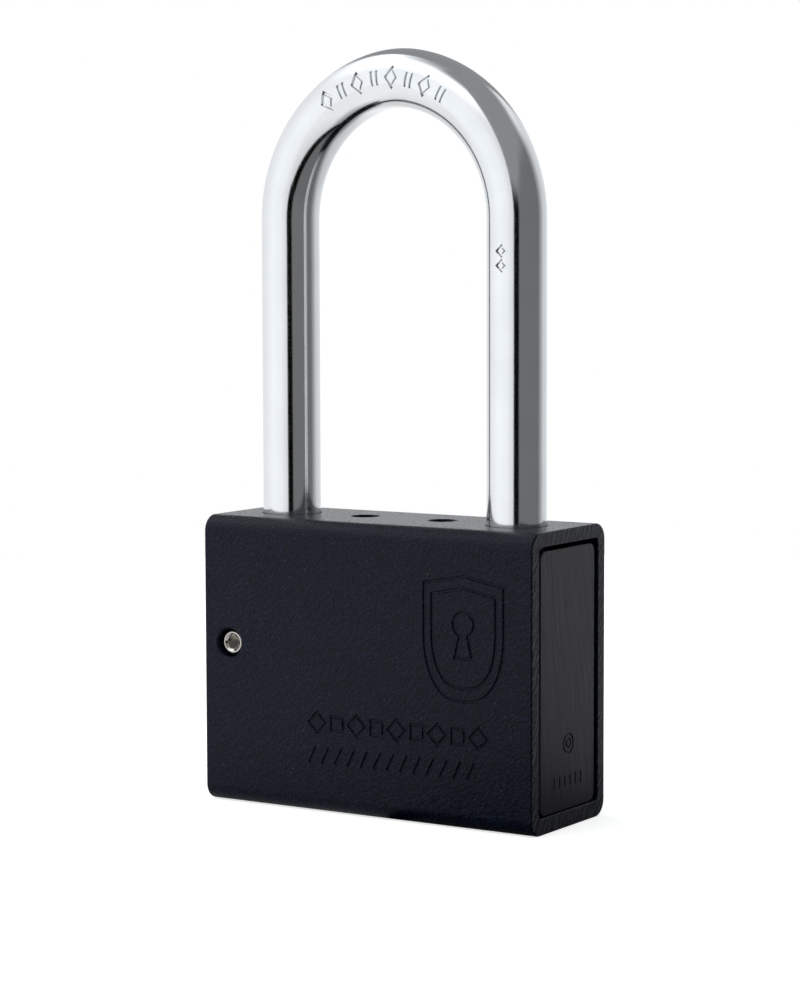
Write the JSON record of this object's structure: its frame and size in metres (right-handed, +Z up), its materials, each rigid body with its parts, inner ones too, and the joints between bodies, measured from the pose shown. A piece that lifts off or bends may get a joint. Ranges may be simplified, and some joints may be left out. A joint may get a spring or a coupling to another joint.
{
  "type": "cased padlock",
  "caption": "Cased padlock: a rectangular lock block in a black open-ended steel sleeve, with a long round removable shackle that steel balls lock at both legs.",
  "frame": {"origin": "middle of the sleeve's underside", "axes": "+X across the width towards the toe leg, -Y out of the front face with the set screw, +Z up along the shackle's legs"},
  "size_m": [0.082, 0.031, 0.1622],
  "materials": {
    "sleeve_coat": "textured powder coat",
    "block_steel": "dark phosphated, brushed",
    "shackle_chrome": "satin chrome",
    "screw_nickel": "bright nickel",
    "ball_steel": "polished",
    "inner_steel": "machined",
    "spring_steel": "drawn wire",
    "brass": "machined",
    "plug_nickel": "nickel-plated brass, turned"
  },
  "bodies": {
    "case": {"sleeve": "sleeve_coat", "lock_block": "block_steel", "body_screw": "screw_nickel", "channel_plug": "block_steel", "cam_washer": "brass", "cam_bush": "inner_steel", "cylinder_housing": "brass", "cylinder_pin": "inner_steel", "anti_drill_pins": "inner_steel", "driver_pins": "inner_steel", "pin_springs": "spring_steel", "chamber_caps": "brass"},
    "shackle": {"shackle": "shackle_chrome"},
    "plug": {"plug": "plug_nickel", "plug_clip": "inner_steel", "plug_guard_pins": "inner_steel", "key_pins": "brass", "tailpiece": "inner_steel", "cam": "inner_steel"},
    "toe_bolt": {"toe_ball": "ball_steel", "toe_pusher": "inner_steel"},
    "heel_bolt": {"heel_ball": "ball_steel", "heel_pusher": "inner_steel"}
  },
  "joints": [
    {"name": "shackle_lift", "type": "slide", "parent": "case", "child": "shackle", "axis": [0, 0, 1], "range_m": [0, 0.032]},
    {"name": "plug_turn", "type": "hinge", "parent": "case", "child": "plug", "pos_m": [0, 0, 0.02], "axis": [0, 0, 1], "range_deg": [-90, 0]},
    {"name": "toe_bolt_slide", "type": "slide", "parent": "case", "child": "toe_bolt", "axis": [1, 0, 0], "range_m": [0, 0.0028]},
    {"name": "heel_bolt_slide", "type": "slide", "parent": "case", "child": "heel_bolt", "axis": [-1, 0, 0], "range_m": [0, 0.0028]}
  ],
  "couplings": [
    {"joint": "toe_bolt_slide", "follows": "plug_turn", "m_per_rad": -0.001782},
    {"joint": "heel_bolt_slide", "follows": "plug_turn", "m_per_rad": -0.001782}
  ]
}
